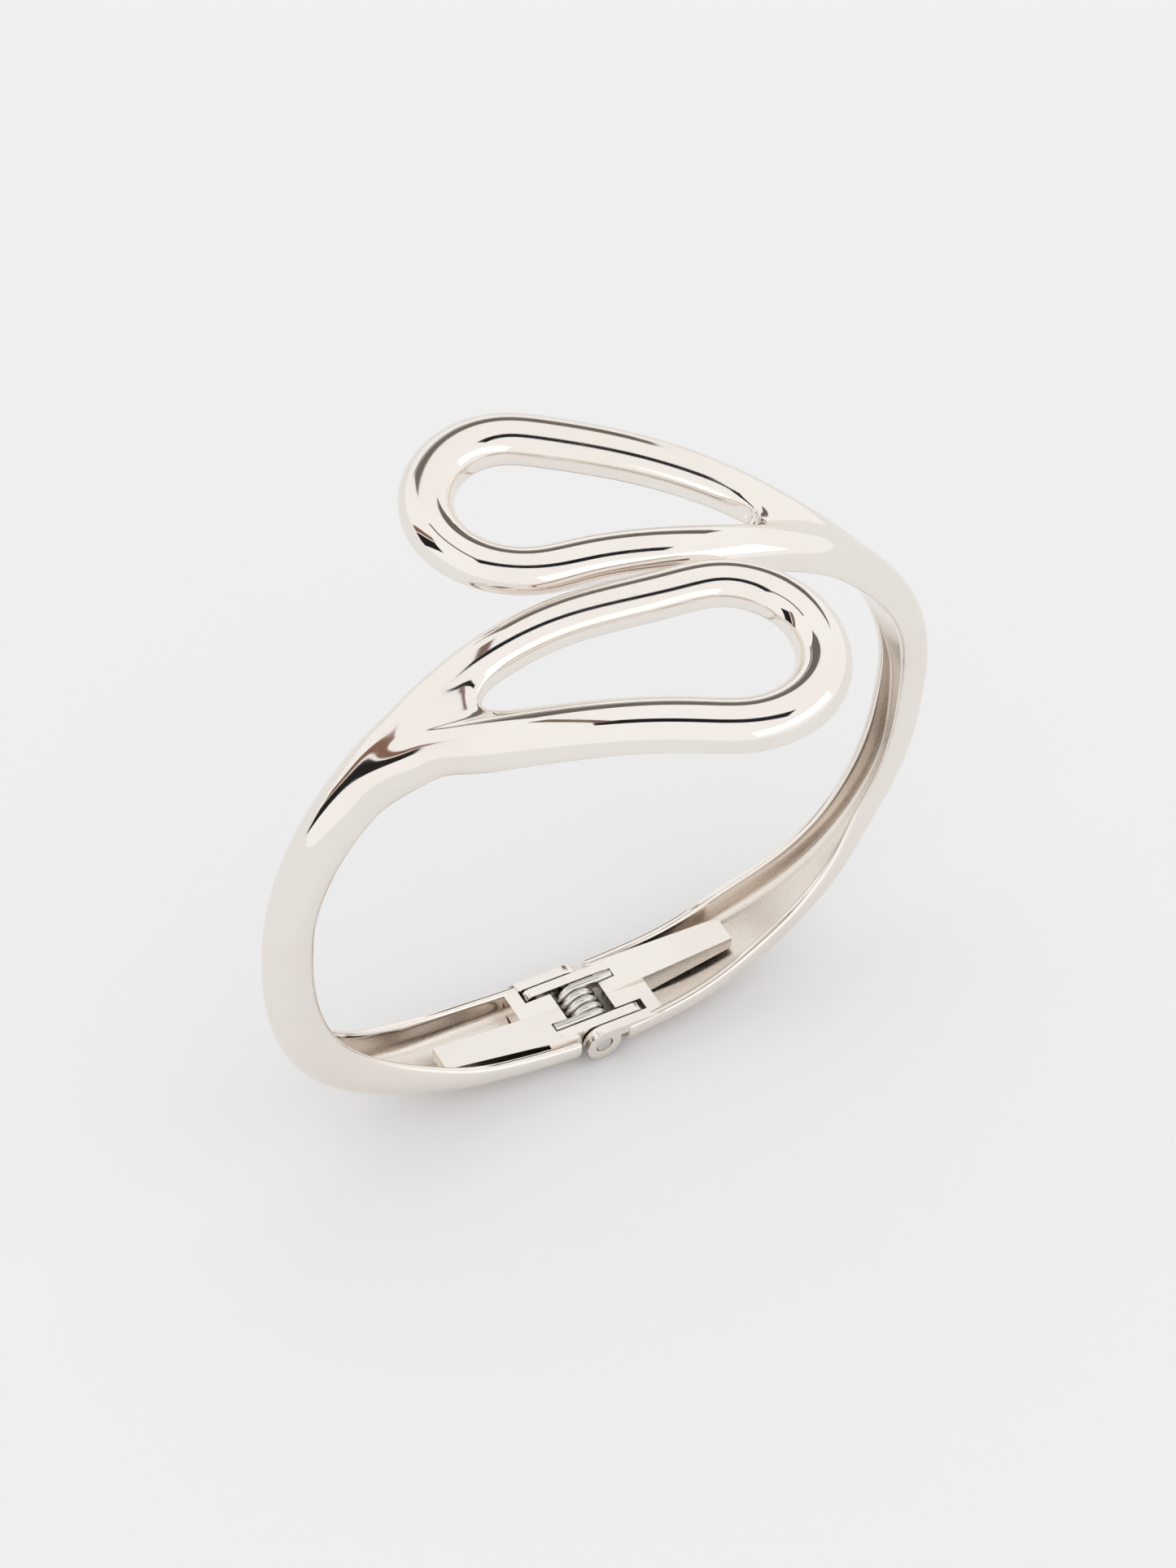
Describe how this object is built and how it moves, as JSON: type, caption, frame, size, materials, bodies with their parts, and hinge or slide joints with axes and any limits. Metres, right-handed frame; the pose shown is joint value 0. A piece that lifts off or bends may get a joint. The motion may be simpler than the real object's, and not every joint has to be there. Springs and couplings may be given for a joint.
{
  "type": "spring-hinged bypass bangle bracelet",
  "caption": "Polished metal bangle of two arms joined by a spring hinge, each ending in an open teardrop loop that passes the other over the wrist.",
  "frame": {"origin": "under the hinge, at the lowest point of the closed bangle, on its vertical middle line", "axes": "+X across the wrist, towards the arm that swings; +Y along the wrist and the hinge pin; +Z from the hinge to the crossing loops"},
  "size_m": [0.0602, 0.0388, 0.054],
  "materials": {
    "polished_plate": "mirror-polished pale silver plate on a cast alloy",
    "hinge_metal": "plated, tumbled rather than polished, with soft edges",
    "pin_steel": "drawn steel pin, ends filed flush",
    "spring_wire": "bright drawn spring wire"
  },
  "bodies": {
    "left_half": {"left_arm": "polished_plate", "left_hinge_leaf": "hinge_metal", "hinge_pin": "pin_steel", "torsion_spring": "spring_wire"},
    "right_half": {"right_arm": "polished_plate", "right_hinge_leaf": "hinge_metal"}
  },
  "joints": [
    {"name": "arm_hinge", "type": "hinge", "parent": "left_half", "child": "right_half", "pos_m": [0, 0, 0.00195], "axis": [0, 1, 0], "range_deg": [0, 55], "stiffness_Nm_per_rad": 0.03, "springref_deg": -34.38, "deforming": ["torsion_spring"]}
  ]
}
